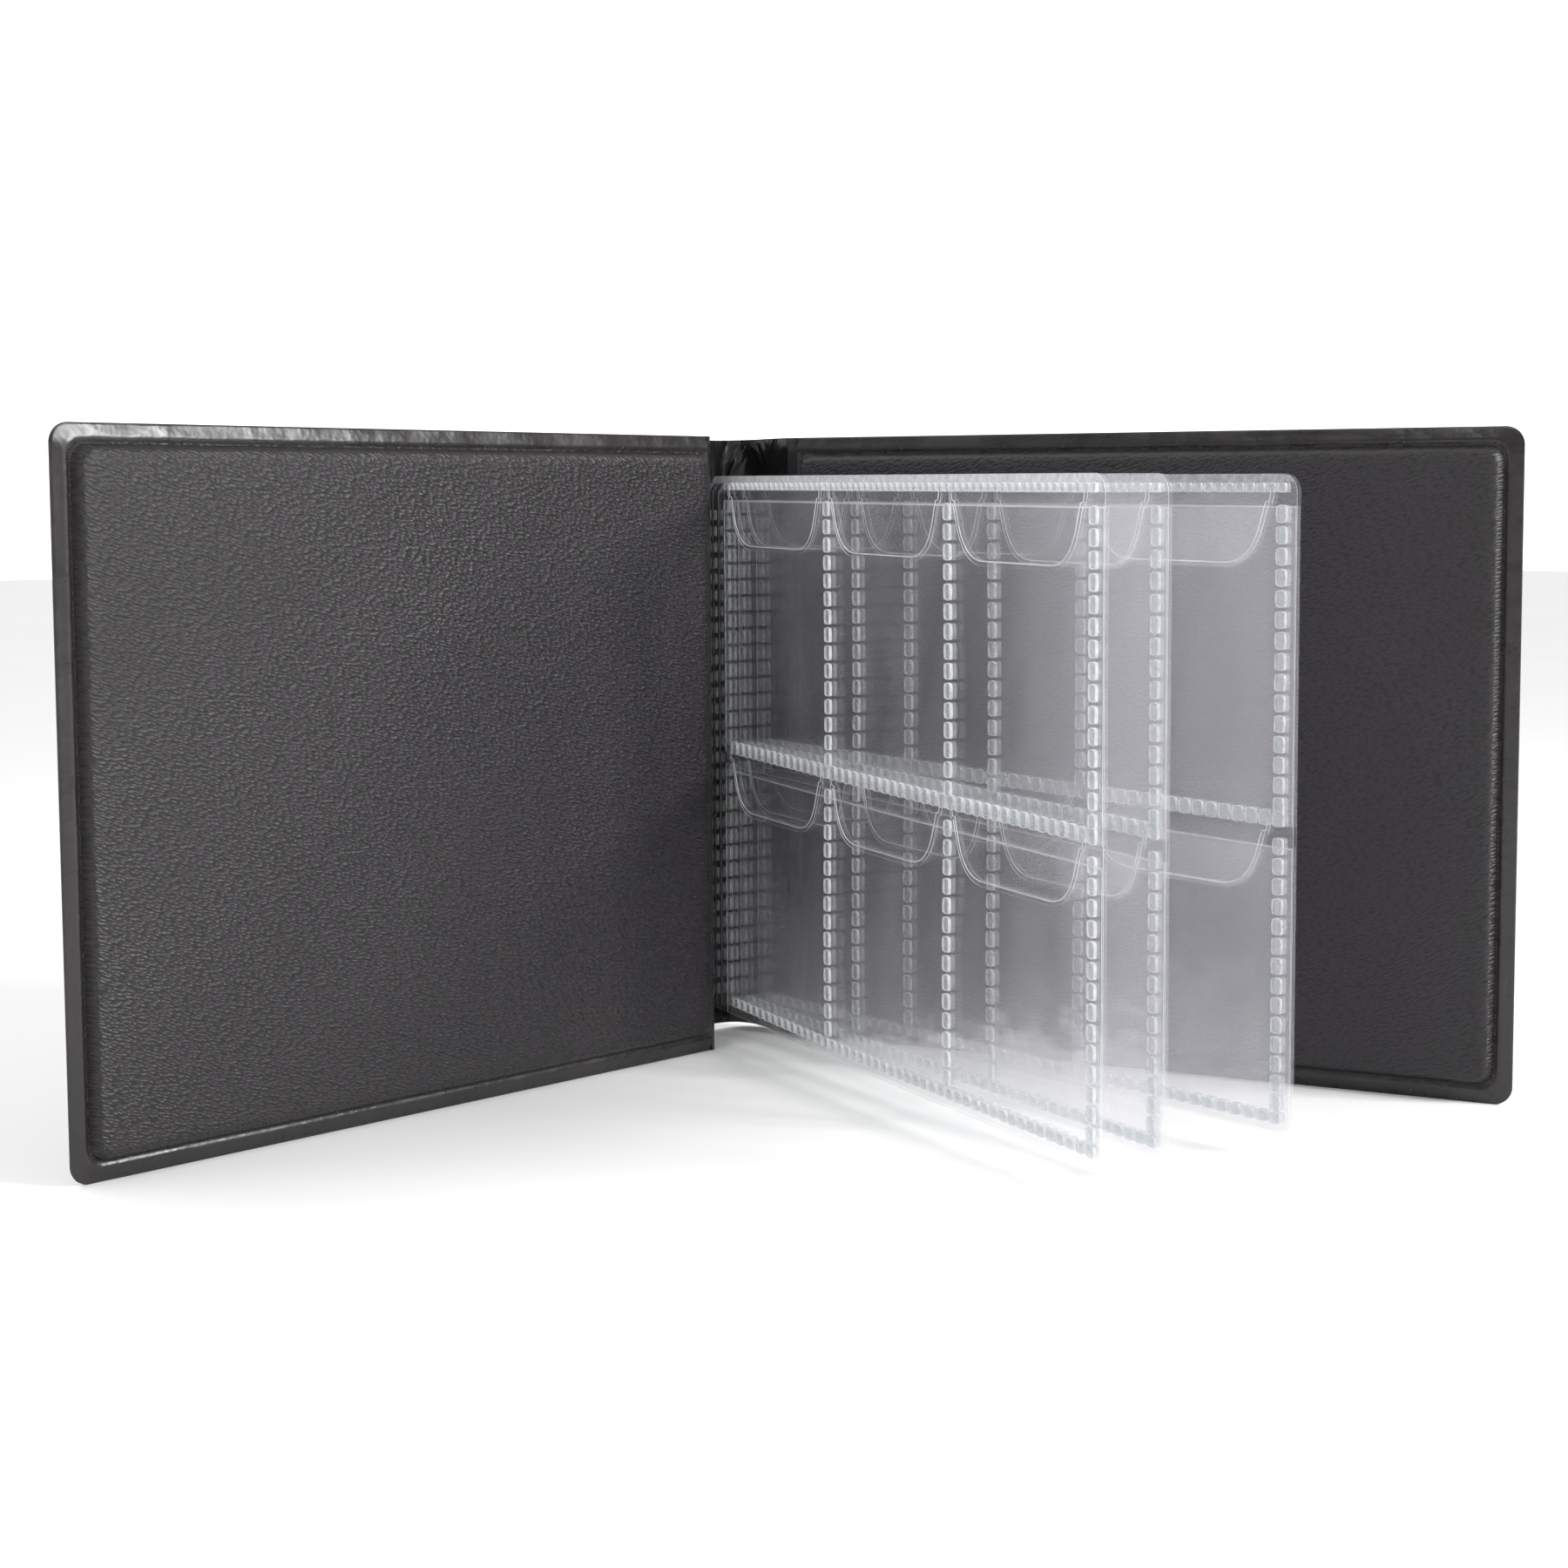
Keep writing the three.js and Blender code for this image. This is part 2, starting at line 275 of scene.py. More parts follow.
def cover_grid():
    """A cover's flat places: along from the hinge, height above the foot, and the point's ring."""
    offset = panel_inset - hinge_inset
    near_hinge = rings[rings > cover_start + offset - hair] - offset
    far_side, top = cover_width - rings[::-1], cover_height - rings[::-1]
    u = np.concatenate([
        near_hinge, lines_between(near_hinge[-1], far_side[0], panel_step)[1:-1], far_side,
    ])
    z = np.concatenate([rings, lines_between(rings[-1], top[0], panel_step)[1:-1], top])
    u, z = np.meshgrid(u, z)
    by_hinge, low = u + offset < cover_width - u, z < cover_height - z
    side = np.where(by_hinge, u + offset, cover_width - u)
    foot = np.where(low, z, cover_height - z)
    free = rounded(side, foot, corner_rings, free_corner)
    bound = rounded(side, foot, hinge_corner_rings, hinge_corner)
    side, foot, ring = (np.where(by_hinge, b, f) for f, b in zip(free, bound))
    u = np.where(by_hinge, side - offset, cover_width - side)
    return u, np.where(low, foot, cover_height - foot), ring


leatherette, tree = new_material("embossed black PVC leatherette")
# PVC film calendered with a leather grain: satin, with fine slanting wrinkles that catch the
# light. They lie about 0.5 mm apart, which just shows, and waver a little. The pores between
# them, some 0.2 mm wide, are drawn at 0.6 mm so that they show.
wrinkle_length, wrinkle_pitch, wrinkle_slant = 1.3889 * mm, 0.4878 * mm, math.radians(-22)
waver_size, waver_reach = 2.381 * mm, (0.7, 0.7, 0.0)
pore_size, pore_share = 0.58824 * mm, 0.3
rubbed_patch = 71.43 * mm
film_uv = put(tree, "ShaderNodeUVMap", uv_map="film")
slanted = put(tree, "ShaderNodeMapping", {
    "Vector": film_uv.outputs["UV"], "Rotation": (0, 0, wrinkle_slant),
})
waver = put(tree, "ShaderNodeTexNoise", {
    "Vector": film_uv.outputs["UV"], "Scale": 1 / waver_size, "Detail": 2.0,
})
drawn = put(tree, "ShaderNodeMapping", {
    "Vector": slanted.outputs["Vector"], "Scale": (1 / wrinkle_length, 1 / wrinkle_pitch, 1.0),
})
bent = put(tree, "ShaderNodeVectorMath", {
    0: waver.outputs["Color"], 1: waver_reach, 2: drawn.outputs["Vector"],
}, operation="MULTIPLY_ADD")
wrinkles = put(tree, "ShaderNodeTexVoronoi", {
    "Vector": bent.outputs["Vector"], "Scale": 1.0, "Smoothness": 0.35,
}, feature="SMOOTH_F1", voronoi_dimensions="2D")
pores = put(tree, "ShaderNodeTexNoise", {
    "Vector": film_uv.outputs["UV"], "Scale": 1 / pore_size, "Detail": 2.0,
})
ridges = put(tree, "ShaderNodeMapRange", {
    "Value": wrinkles.outputs["Distance"],
    "From Min": 0.15, "From Max": 0.75, "To Min": 1.0, "To Max": 0.0,
})
relief = put(tree, "ShaderNodeMath", {
    0: pores.outputs["Fac"], 1: pore_share, 2: ridges.outputs["Result"],
}, operation="MULTIPLY_ADD")
grain = put(tree, "ShaderNodeBump", {
    "Height": relief.outputs["Value"], "Strength": 0.9, "Distance": 0.14 * mm,
})
rubbed = put(tree, "ShaderNodeTexNoise", {
    "Vector": film_uv.outputs["UV"], "Scale": 1 / rubbed_patch, "Detail": 3.0,
})
# Painted shade and highlight: the base colour is darker in the grain's valleys and pores and
# lighter on its ridges, as light across the relief would show them.
tint = put(tree, "ShaderNodeMix", {
    "Factor": relief.outputs["Value"], "A": linear("#050405"), "B": linear("#221c21"),
}, data_type="RGBA")
satin = put(tree, "ShaderNodeMapRange", {
    "Value": rubbed.outputs["Fac"],
    "From Min": 0.3, "From Max": 0.7, "To Min": 0.42, "To Max": 0.54,
})
film = put(tree, "ShaderNodeBsdfPrincipled", {
    "Base Color": tint.outputs["Result"], "Roughness": satin.outputs["Result"],
    "IOR": 1.53, "Normal": grain.outputs["Normal"],
})
put(tree, "ShaderNodeOutputMaterial", {"Surface": film.outputs["BSDF"]})

pressed_border, tree = new_material("heat-pressed black PVC border")
# The welding tool irons the grain out, so the border shines more and has faint dents along it.
dent_size = 7.6923 * mm
film_uv = put(tree, "ShaderNodeUVMap", uv_map="film")
dents = put(tree, "ShaderNodeTexNoise", {
    "Vector": film_uv.outputs["UV"], "Scale": 1 / dent_size, "Detail": 3.0,
})
pressed = put(tree, "ShaderNodeBump", {
    "Height": dents.outputs["Fac"], "Strength": 0.6, "Distance": 0.6 * mm,
})
uneven = put(tree, "ShaderNodeMapRange", {
    "Value": dents.outputs["Fac"],
    "From Min": 0.3, "From Max": 0.7, "To Min": 0.22, "To Max": 0.36,
})
tint = put(tree, "ShaderNodeMix", {
    "Factor": dents.outputs["Fac"], "A": linear("#1c191b"), "B": linear("#2e2a2d"),
}, data_type="RGBA")
film = put(tree, "ShaderNodeBsdfPrincipled", {
    "Base Color": tint.outputs["Result"], "Roughness": uneven.outputs["Result"],
    "IOR": 1.53, "Normal": pressed.outputs["Normal"],
})
put(tree, "ShaderNodeOutputMaterial", {"Surface": film.outputs["BSDF"]})

joints = {joint["name"]: joint for joint in frame["record"]["behaviour"]["joints"]}
mounts = {mount["name"]: mount for mount in frame["record"]["mounts"]}
along_u, height_z, ring = cover_grid()
is_border = (ring[:-1, :-1] + ring[1:, 1:]) / 2 < border_width
across, tall = along_u / cover_width, height_z / cover_height
arch = np.sin(np.pi * across) * np.sin(np.pi * tall)
crown = arch * np.clip(ring / crown_reach, 0, 1)
ripple = (ripple_height * np.sin(along_u / ripple_across + 3 * tall)
          * np.sin(height_z / ripple_up + 2 * across))
sheet_uv = np.stack([along_u, height_z], -1)
upright = np.array([0, 0, 1.0])
cover_frames = {}
for cover in ("front", "back"):
    hinge = np.array(joints[f"{cover}_cover_hinge"]["pos_m"]) * (1, 1, 0)
    inward = -np.array(mounts[f"{cover}_cover_face"]["axis"])
    # Facing inward, seen from above, a cover leads from its hinge to the right on the front one
    # and to the left on the back one.
    side = 1 if cover == "front" else -1
    outward_way = side * np.array([inward[1], -inward[0], 0])
    cover_frames[cover] = hinge, outward_way, inward

    def cover_place(rise):
        return (hinge + along_u[..., None] * outward_way + height_z[..., None] * upright
                + rise[..., None] * inward)

    rippled = ring > ripple_start
    rise = (np.interp(ring, profile_rings, inner_profile) + crown_height * crown
            + ripple * rippled)
    under = np.maximum(rise - film_thickness, least_thickness)
    inner_film = shell(f"{cover}_inner_film", cover_place(rise), cover_place(under), sheet_uv,
                       [leatherette, pressed_border], is_border, 1)
    fall = -np.interp(ring, profile_rings, outer_profile) - ripple * outer_ripple * rippled
    outer_film = shell(f"{cover}_outer_film", cover_place(fall),
                       cover_place(np.full_like(fall, -least_thickness)), sheet_uv,
                       [leatherette, pressed_border], is_border, 1)
    for piece, node_name in ((inner_film, "lining"), (outer_film, "skin")):
        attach(piece, f"{cover}_cover")
        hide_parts(f"{cover}_{node_name}")

# ---- boards ----
# Uncoated grey board, die-cut and slipped between the films before they are welded. It is closed
# in and only its mass and stiffness are felt, but it keeps its own pulp-flecked finish.
greyboard, tree = new_material("uncoated grey board")
# Pulp pressed from waste paper: matt and slightly fuzzy, with pale and dark flecks.
fleck_size = 1.1111 * mm
place = put(tree, "ShaderNodeTexCoord")
flecks = put(tree, "ShaderNodeTexNoise", {
    "Vector": place.outputs["Object"], "Scale": 1 / fleck_size, "Detail": 4.0,
})
tint = put(tree, "ShaderNodeMix", {
    "Factor": flecks.outputs["Fac"], "A": linear("#7d766b"), "B": linear("#a29a8c"),
}, data_type="RGBA")
fuzz = put(tree, "ShaderNodeBump", {
    "Height": flecks.outputs["Fac"], "Strength": 0.4, "Distance": 0.1 * mm,
})
pulp = put(tree, "ShaderNodeBsdfPrincipled", {
    "Base Color": tint.outputs["Result"], "Roughness": 0.92,
    "IOR": 1.5, "Normal": fuzz.outputs["Normal"],
})
put(tree, "ShaderNodeOutputMaterial", {"Surface": pulp.outputs["BSDF"]})
for node_name in ("front_board", "back_board"):
    board = frame["nodes"][node_name]
    for index in range(len(board.material_slots)):
        board.material_slots[index].material = greyboard

# ---- spine and hinges ----
# The same two films run on round the spine with no board between them, so it bows out as a soft
# channel. Inside it is smooth, shiny and slightly crumpled. A rolled fold joins it to each cover.
spine_width, spine_depth, spine_corner = 26.4 * mm, 18 * mm, 6.5 * mm
mouth_y = joints["front_cover_hinge"]["pos_m"][1]
spine_lift = 1.7 * mm  # the bowed film's foot stands this far clear of the ground
spine_sag = 0.4 * mm  # and its top hangs this far below the covers' upper edges
long_slack, long_wave = 0.22 * mm, 13 * mm
short_slack, short_wave = 0.14 * mm, 5.3 * mm
film_inside, film_outside = 0.12 * mm, 0.62 * mm  # a film's faces, from the middle of the wall
hinge_thickness = 1.1 * mm
hinge_points, hinge_step = 13, 5 * mm  # of the fold's mesh, across it and up it
wall_step, back_step, height_step = 1.2 * mm, 1.5 * mm, 0.03  # the last in spine heights

spine_gloss, tree = new_material("smooth plasticised black PVC")
# Soft PVC with no grain: deep black, with sharp, bent reflections where it has crumpled.
crease_size, crease_pull = 13.3333 * mm, (2.2, 1.0, 1.0)  # closer round the spine than up it
film_uv = put(tree, "ShaderNodeUVMap", uv_map="film")
pulled = put(tree, "ShaderNodeMapping", {"Vector": film_uv.outputs["UV"], "Scale": crease_pull})
creases = put(tree, "ShaderNodeTexNoise", {
    "Vector": pulled.outputs["Vector"], "Scale": 1 / crease_size, "Detail": 2.5, "Distortion": 0.6,
})
crumple = put(tree, "ShaderNodeBump", {
    "Height": creases.outputs["Fac"], "Strength": 0.7, "Distance": 2 * mm,
})
tint = put(tree, "ShaderNodeMix", {
    "Factor": creases.outputs["Fac"], "A": linear("#0e0c0d"), "B": linear("#1a1819"),
}, data_type="RGBA")
film = put(tree, "ShaderNodeBsdfPrincipled", {
    "Base Color": tint.outputs["Result"], "Roughness": 0.2,
    "IOR": 1.53, "Normal": crumple.outputs["Normal"],
})
put(tree, "ShaderNodeOutputMaterial", {"Surface": film.outputs["BSDF"]})


def channel_path():
    """The middle of the spine's wall, front hinge to back hinge, with its ways outwards."""
    half, back_y = spine_width / 2, mouth_y + spine_depth
    wall = lines_between(mouth_y + cover_start, back_y - spine_corner, wall_step)
    turn = np.radians(np.linspace(0, 90, 10))[1:-1]
    back_x = lines_between(-half + spine_corner, half - spine_corner, back_step)
    left = [((-half, y), (-1, 0)) for y in wall]
    first = [((-half + spine_corner * (1 - math.cos(t)), back_y - spine_corner * (1 - math.sin(t))),
              (-math.cos(t), math.sin(t))) for t in turn]
    middle = [((x, back_y), (0, 1)) for x in back_x]
    mirrored = [((-x, y), (-nx, ny)) for (x, y), (nx, ny) in reversed(left + first)]
    path = left + first + middle + mirrored
    return np.array([p for p, _ in path]), np.array([n for _, n in path])


points, ways = channel_path()
run = np.concatenate([[0], np.cumsum(np.linalg.norm(np.diff(points, axis=0), axis=1))])
share = run / run[-1]
bow = np.sin(np.pi * share) ** 2
levels = lines_between(0, 1, height_step)[:, None]
spine_z = ((spine_lift * bow)[None, :] * (1 - levels) + cover_height * levels
           - spine_sag * bow * levels)
slack = bow * (long_slack * np.sin(spine_z / long_wave + 5 * share)
               + short_slack * np.sin(spine_z / short_wave - 9 * share))


def spine_place(offset):
    flat = points[None, :, :] + ways[None, :, :] * (offset + slack)[..., None]
    return np.concatenate([flat, spine_z[..., None]], -1)


spine_uv = np.stack([np.broadcast_to(run, spine_z.shape), spine_z], -1)
for piece_name, node_name, low, high, finish, slot in (
    ("spine_outer_film", "spine_skin", film_inside, film_outside, leatherette, "leatherette"),
    ("spine_inner_film", "spine_lining", -film_outside, -film_inside, spine_gloss, "spine_vinyl"),
):
    film_piece = shell(piece_name, spine_place(high), spine_place(low), spine_uv, [finish])
    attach(film_piece, "spine")
    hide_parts(node_name)

for cover, (hinge, outward_way, inward) in cover_frames.items():
    spine_end = hinge + np.array([0, cover_start, 0])
    cover_end = hinge + outward_way * cover_start
    t = np.linspace(0, 1, hinge_points)[:, None]
    middle = (1 - t) ** 2 * spine_end + 2 * t * (1 - t) * hinge + t ** 2 * cover_end
    tangent = np.gradient(middle, axis=0)
    tangent /= np.linalg.norm(tangent, axis=1)[:, None]
    outwards = np.cross(tangent, upright) * (1 if cover == "front" else -1)
    outwards *= np.sign(np.sum(outwards[-1] * -inward))
    up_z = lines_between(0, cover_height, hinge_step)

    def strip_place(offset):
        flat = middle + outwards * offset
        return flat[None, :, :] + up_z[:, None, None] * upright

    strip_uv = np.stack(np.meshgrid(np.linspace(0, 2 * cover_start, hinge_points), up_z), -1)
    strip = shell(f"{cover}_hinge_fold", strip_place(hinge_thickness / 2),
                  strip_place(-hinge_thickness / 2), strip_uv, [pressed_border])
    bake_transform(strip)

# ---- clear pages ----
# Each page is soft clear PVC: a back film that runs on into the spine as a margin, and two pocket
# films laid on it, all cut together and welded along ladders of small pads.
page_count = 6
page_foot, page_top = 5.6 * mm, 135.3 * mm
margin_length, page_width = 10 * mm, 168 * mm
layer_pitch, film_half = 0.32 * mm, 0.07 * mm
page_corner = 3.6 * mm
pocket_start = 0.7 * mm  # from the fold
page_step, page_height_step = 5 * mm, 6 * mm  # of a film's mesh
slant_height, slant_inset, slant_slope = 8 * mm, 3.4 * mm, 1.1  # of the margin's cut corner
pair_lean = 0.7 * mm  # the second page of each pair leans this much against the first at its edge
page_bow, page_wave, wave_length = 0.9 * mm, 0.25 * mm, 19 * mm
droop_foot, droop_rise, droop_fall = 1.1, 4.7, 5.2  # in mm, from the foot of a page to its top
upper_weld, middle_weld, lower_weld = 132.7 * mm, 69.25 * mm, 8.6 * mm
weld_rows = (  # each row's height, the pitch of its pads and their width
    (upper_weld, 2.7 * mm, 1.9 * mm), (middle_weld, 3.5 * mm, 3.3 * mm),
    (lower_weld, 3.5 * mm, 2.4 * mm),
)
weld_first, weld_last, weld_columns = 2 * mm, 164.4 * mm, 4
column_foot, column_top, row_clearance = 2.2 * mm, 2 * mm, 2.4 * mm
pad_pitch, pad_long, pad_wide, pad_gap = 4.0 * mm, 3.5 * mm, 2.7 * mm, 0.5 * mm
pad_sides, pad_rim, pad_roundness, pad_sharp_bend = 12, 0.3 * mm, 0.6, math.radians(60)
below_films = -1.0
# A pad's loops, as insets in rim widths and rises in mm over the top film.
pad_profile = ((0.0, below_films), (0.0, 0.0), (0.3, 0.2), (0.7, 0.2), (1.0, 0.02))
first_column_end = 3.5 * mm  # pads nearer to the fold than this get the deep-shaded finish: painted shade, deep by the spine
root_pad_inset, root_pad_foot, root_pad_half = 1.6 * mm, 4 * mm, (0.6 * mm, 1.4 * mm)
upper_mouth, lower_mouth = upper_weld - 3.4 * mm, middle_weld - 5.5 * mm
pocket_overlap = 1.3 * mm  # the upper pocket's film runs on below the middle weld
frosted_strip, thick_mouth = 1.3 * mm, 0.35 * mm


def film_material(name, painted_outer_light):
    """Calendered clear film: it mirrors softly, scatters some light as a haze, and is not flat."""
    swell_size = 18.182 * mm
    streak_width, streak_length = 16.667 * mm, 58.824 * mm
    material, tree = new_material(name)
    place = put(tree, "ShaderNodeTexCoord")
    film_uv = put(tree, "ShaderNodeUVMap", uv_map="film")
    swell = put(tree, "ShaderNodeTexNoise", {
        "Vector": place.outputs["Object"], "Scale": 1 / swell_size, "Detail": 2.0,
    })
    buckle = put(tree, "ShaderNodeBump", {
        "Height": swell.outputs["Fac"], "Strength": 0.5, "Distance": 2 * mm,
    })
    # The haze lies in soft upright streaks, as the film came off the rollers.
    rolled = put(tree, "ShaderNodeMapping", {
        "Vector": film_uv.outputs["UV"], "Scale": (1 / streak_width, 1 / streak_length, 1.0),
    })
    streaks = put(tree, "ShaderNodeTexNoise", {
        "Vector": rolled.outputs["Vector"], "Scale": 1.0, "Detail": 4.0, "Roughness": 0.6,
        "Distortion": 0.5,
    })
    smear = put(tree, "ShaderNodeMapRange", {
        "Value": streaks.outputs["Fac"],
        "From Min": 0.3, "From Max": 0.7, "To Min": 0.002, "To Max": 0.027,
    })
    # Painted light: the haze, and with it the film's brightness, rises towards the outer part of a
    # page, where more light reaches it than near the spine, which lies in shade. The haze also
    # rises towards the foot of a page.
    along = put(tree, "ShaderNodeSeparateXYZ", {"Vector": film_uv.outputs["UV"]})
    outer = put(tree, "ShaderNodeMapRange", {
        "Value": along.outputs["X"],
        "From Min": 95 * mm, "From Max": 150 * mm, "To Min": 0.0, "To Max": painted_outer_light,
    }, interpolation_type="SMOOTHSTEP")
    foot = put(tree, "ShaderNodeMapRange", {
        "Value": along.outputs["Y"],
        "From Min": 45 * mm, "From Max": 5 * mm, "To Min": 0.0, "To Max": 0.026,
    })
    uneven = put(tree, "ShaderNodeMath", {
        0: outer.outputs["Result"], 1: foot.outputs["Result"],
    }, operation="ADD")
    haze = put(tree, "ShaderNodeMath", {
        0: smear.outputs["Result"], 1: uneven.outputs["Value"],
    }, operation="ADD")
    through = put(tree, "ShaderNodeBsdfTransparent", {"Color": linear("#fdfdfd")})
    lit_side = put(tree, "ShaderNodeBsdfDiffuse", {"Color": linear("#e8e7ee")})
    far_side = put(tree, "ShaderNodeBsdfTranslucent", {"Color": linear("#e8e7ee")})
    scatter = put(tree, "ShaderNodeMixShader", {
        "Fac": 0.35, 1: lit_side.outputs["BSDF"], 2: far_side.outputs["BSDF"],
    })
    mirror = put(tree, "ShaderNodeBsdfGlossy", {
        "Color": linear("#ffffff"), "Roughness": 0.14, "Normal": buckle.outputs["Normal"],
    })
    # Both faces of so thin a film mirror alike, by 4.4 percent face on and more at a slant.
    face_on = 0.044
    slant = put(tree, "ShaderNodeLayerWeight", {"Blend": 0.5, "Normal": buckle.outputs["Normal"]})
    steep = put(tree, "ShaderNodeMath", {0: slant.outputs["Facing"], 1: 5.0}, operation="POWER")
    mirrored = put(tree, "ShaderNodeMath", {
        0: steep.outputs["Value"], 1: 1 - face_on, 2: face_on,
    }, operation="MULTIPLY_ADD")
    body = put(tree, "ShaderNodeMixShader", {
        "Fac": haze.outputs["Value"], 1: through.outputs["BSDF"], 2: scatter.outputs["Shader"],
    })
    film = put(tree, "ShaderNodeMixShader", {
        "Fac": mirrored.outputs["Value"], 1: body.outputs["Shader"], 2: mirror.outputs["BSDF"],
    })
    put(tree, "ShaderNodeOutputMaterial", {"Surface": film.outputs["Shader"]})
    return material


def edge_material(name, shown):
    """A cut edge gathers the light that runs inside the film, so it shows as a pale bright line."""
    nick_spacing = 3.3333 * mm
    material, tree = new_material(name)
    place = put(tree, "ShaderNodeTexCoord")
    nicks = put(tree, "ShaderNodeTexNoise", {
        "Vector": place.outputs["Object"], "Scale": 1 / nick_spacing, "Detail": 2.0,
    })
    tint = put(tree, "ShaderNodeMix", {
        "Factor": nicks.outputs["Fac"], "A": linear("#c2c3c8"), "B": linear("#f2f2f5"),
    }, data_type="RGBA")
    edge = put(tree, "ShaderNodeBsdfPrincipled", {
        "Base Color": tint.outputs["Result"], "Roughness": 0.25, "IOR": 1.53, "Alpha": shown,
    })
    put(tree, "ShaderNodeOutputMaterial", {"Surface": edge.outputs["BSDF"]})
    return material


def weld_material(name, least, most):
    """Film fused by the hot electrode: frosted, more so on a pad's raised rim than in its dish."""
    frost_size = 1.4286 * mm  # finer on the real film, and drawn this coarse so that it shows
    material, tree = new_material(name)
    place = put(tree, "ShaderNodeTexCoord")
    frost = put(tree, "ShaderNodeTexNoise", {
        "Vector": place.outputs["Object"], "Scale": 1 / frost_size, "Detail": 2.0,
    })
    frosting = put(tree, "ShaderNodeMapRange", {
        "Value": frost.outputs["Fac"],
        "From Min": 0.3, "From Max": 0.7, "To Min": least, "To Max": most,
    })
    roughened = put(tree, "ShaderNodeBump", {
        "Height": frost.outputs["Fac"], "Strength": 0.3, "Distance": 0.2 * mm,
    })
    through = put(tree, "ShaderNodeBsdfTransparent", {"Color": linear("#f4f6f6")})
    fused = put(tree, "ShaderNodeBsdfPrincipled", {
        "Base Color": linear("#ebebef"), "Roughness": 0.2, "IOR": 1.53,
        "Normal": roughened.outputs["Normal"],
    })
    pad_film = put(tree, "ShaderNodeMixShader", {
        "Fac": frosting.outputs["Result"], 1: through.outputs["BSDF"], 2: fused.outputs["BSDF"],
    })
    put(tree, "ShaderNodeOutputMaterial", {"Surface": pad_film.outputs["Shader"]})
    return material


# Films, cut edges and welds look crisp on the front page of a pair. On the page behind it the edges
# and welds get deep-shaded copies of their finishes, and on the pages behind the first pair
# half-shaded ones: painted shade for the dimming by the films in front of them. The films of the
# last two pairs get painted light on their outer part.
front_finish = {
    "film": film_material("clear soft PVC film", 0.0),
    "edge": edge_material("cut edge of clear PVC film", 0.6),
    "rim": weld_material("heat-welded PVC film, raised rim", 0.42, 0.68),
    "dish": weld_material("heat-welded PVC film, pressed dish", 0.18, 0.32),
}
# Painted light: the films of pages 3 to 6 grow hazier, and so brighter, towards their outer part,
# where more light reaches them.
outer_lit_film = film_material("scuffed clear soft PVC film", 0.072)
# Painted shade: dimmer, less frosted copies of the edge and weld finishes, for the pages behind the
# first pair.
half_shaded_finish = {
    "edge": edge_material("scuffed cut edge of clear PVC film", 0.4),
    "rim": weld_material("scuffed heat-welded PVC film, raised rim", 0.24, 0.42),
    "dish": weld_material("scuffed heat-welded PVC film, pressed dish", 0.16, 0.28),
}
# Painted shade: dim, barely frosted copies of the edge and weld finishes, for a page behind another
# and for pads deep by the spine.
deep_shaded_finish = {
    "edge": edge_material("wetted cut edge of clear PVC film", 0.2),
    "rim": weld_material("wetted heat-welded PVC film, raised rim", 0.13, 0.22),
    "dish": weld_material("wetted heat-welded PVC film, pressed dish", 0.13, 0.22),
}


class Leaf:
    """One page's own frame: s runs from its fold to its outer edge, levels rise to its front."""

    def __init__(self, number):
        self.name = f"page_{number}"
        self.root = np.array(joints[f"{self.name}_root"]["pos_m"]) * (1, 1, 0)
        self.fold = np.array(joints[f"{self.name}_turn"]["pos_m"]) * (1, 1, 0)
        self.way = (self.fold - self.root) / np.linalg.norm(self.fold - self.root)
        self.front = np.array([self.way[1], -self.way[0], 0])
        behind_another, painted_outer_light = number % 2 == 0, number > 2
        self.lean = pair_lean * behind_another
        self.finish = dict(front_finish)
        # Painted light and shade: pages behind the first pair get painted light on the outer part
        # of their films and half-shaded edges and welds. A page behind another gets deep-shaded
        # edges and welds.
        if painted_outer_light:
            self.finish.update(half_shaded_finish, film=outer_lit_film)
        if behind_another:
            self.finish.update(deep_shaded_finish)

    def place(self, s, z, level):
        """All pages bow and droop alike, so that pages which lie together stay apart."""
        reach = np.clip((s + margin_length) / (margin_length + page_width), 0, 1)
        outward = np.clip(s / page_width, 0, 1)
        height = (z - page_foot) / (page_top - page_foot)
        droop = (droop_foot + droop_rise * height - droop_fall * height ** 2) * mm
        z = z + droop * (1 - 2 * outward)
        bow = (page_bow * np.sin(np.pi * reach) ** 2
               + page_wave * np.sin(z / wave_length) * reach * (1 - reach) * 4)
        rise = level + bow + self.lean * outward
        return (self.fold + s[..., None] * self.way + z[..., None] * upright
                + rise[..., None] * self.front)


def film_grid(s_start, s_end, z_low, z_high, low_radius, high_radius):
    """Flat places of a film whose two outer corners are rounded."""
    near = np.array([0, .3, .7, 1.2, 1.8, 2.5, 3.2, 4]) * mm
    edge = near[-1]
    s = np.concatenate([lines_between(s_start, s_end - edge, page_step)[:-1], s_end - near[::-1]])
    inner_z = lines_between(z_low + edge, z_high - edge, page_height_step)[1:-1]
    z = np.concatenate([z_low + near, inner_z, z_high - near[::-1]])
    s, z = np.meshgrid(s, z)
    low = z < (z_low + z_high) / 2
    to_end, to_side = s_end - s, np.where(low, z - z_low, z_high - z)
    radius = np.where(low, low_radius, high_radius)
    turned = radius > 0
    scale = np.where(turned, radius / edge, 1)
    a, b, _ = rounded(to_end / scale, to_side / scale, np.array([0, edge]), np.array([edge, 0]))
    to_end, to_side = np.where(turned, a * scale, to_end), np.where(turned, b * scale, to_side)
    return s_end - to_end, np.where(low, z_low + to_side, z_high - to_side)


def page_film(leaf, name, s, z, level, patch=None):
    front = leaf.place(s, z, np.full_like(s, level + film_half))
    behind = leaf.place(s, z, np.full_like(s, level - film_half))
    finishes = [leaf.finish["film"], leaf.finish["edge"], leaf.finish["rim"]]
    film = shell(name, front, behind, np.stack([s, z], -1), finishes, patch, rim=1, backed=False)
    film.visible_shadow = False  # clear film hardly dims the light
    return film


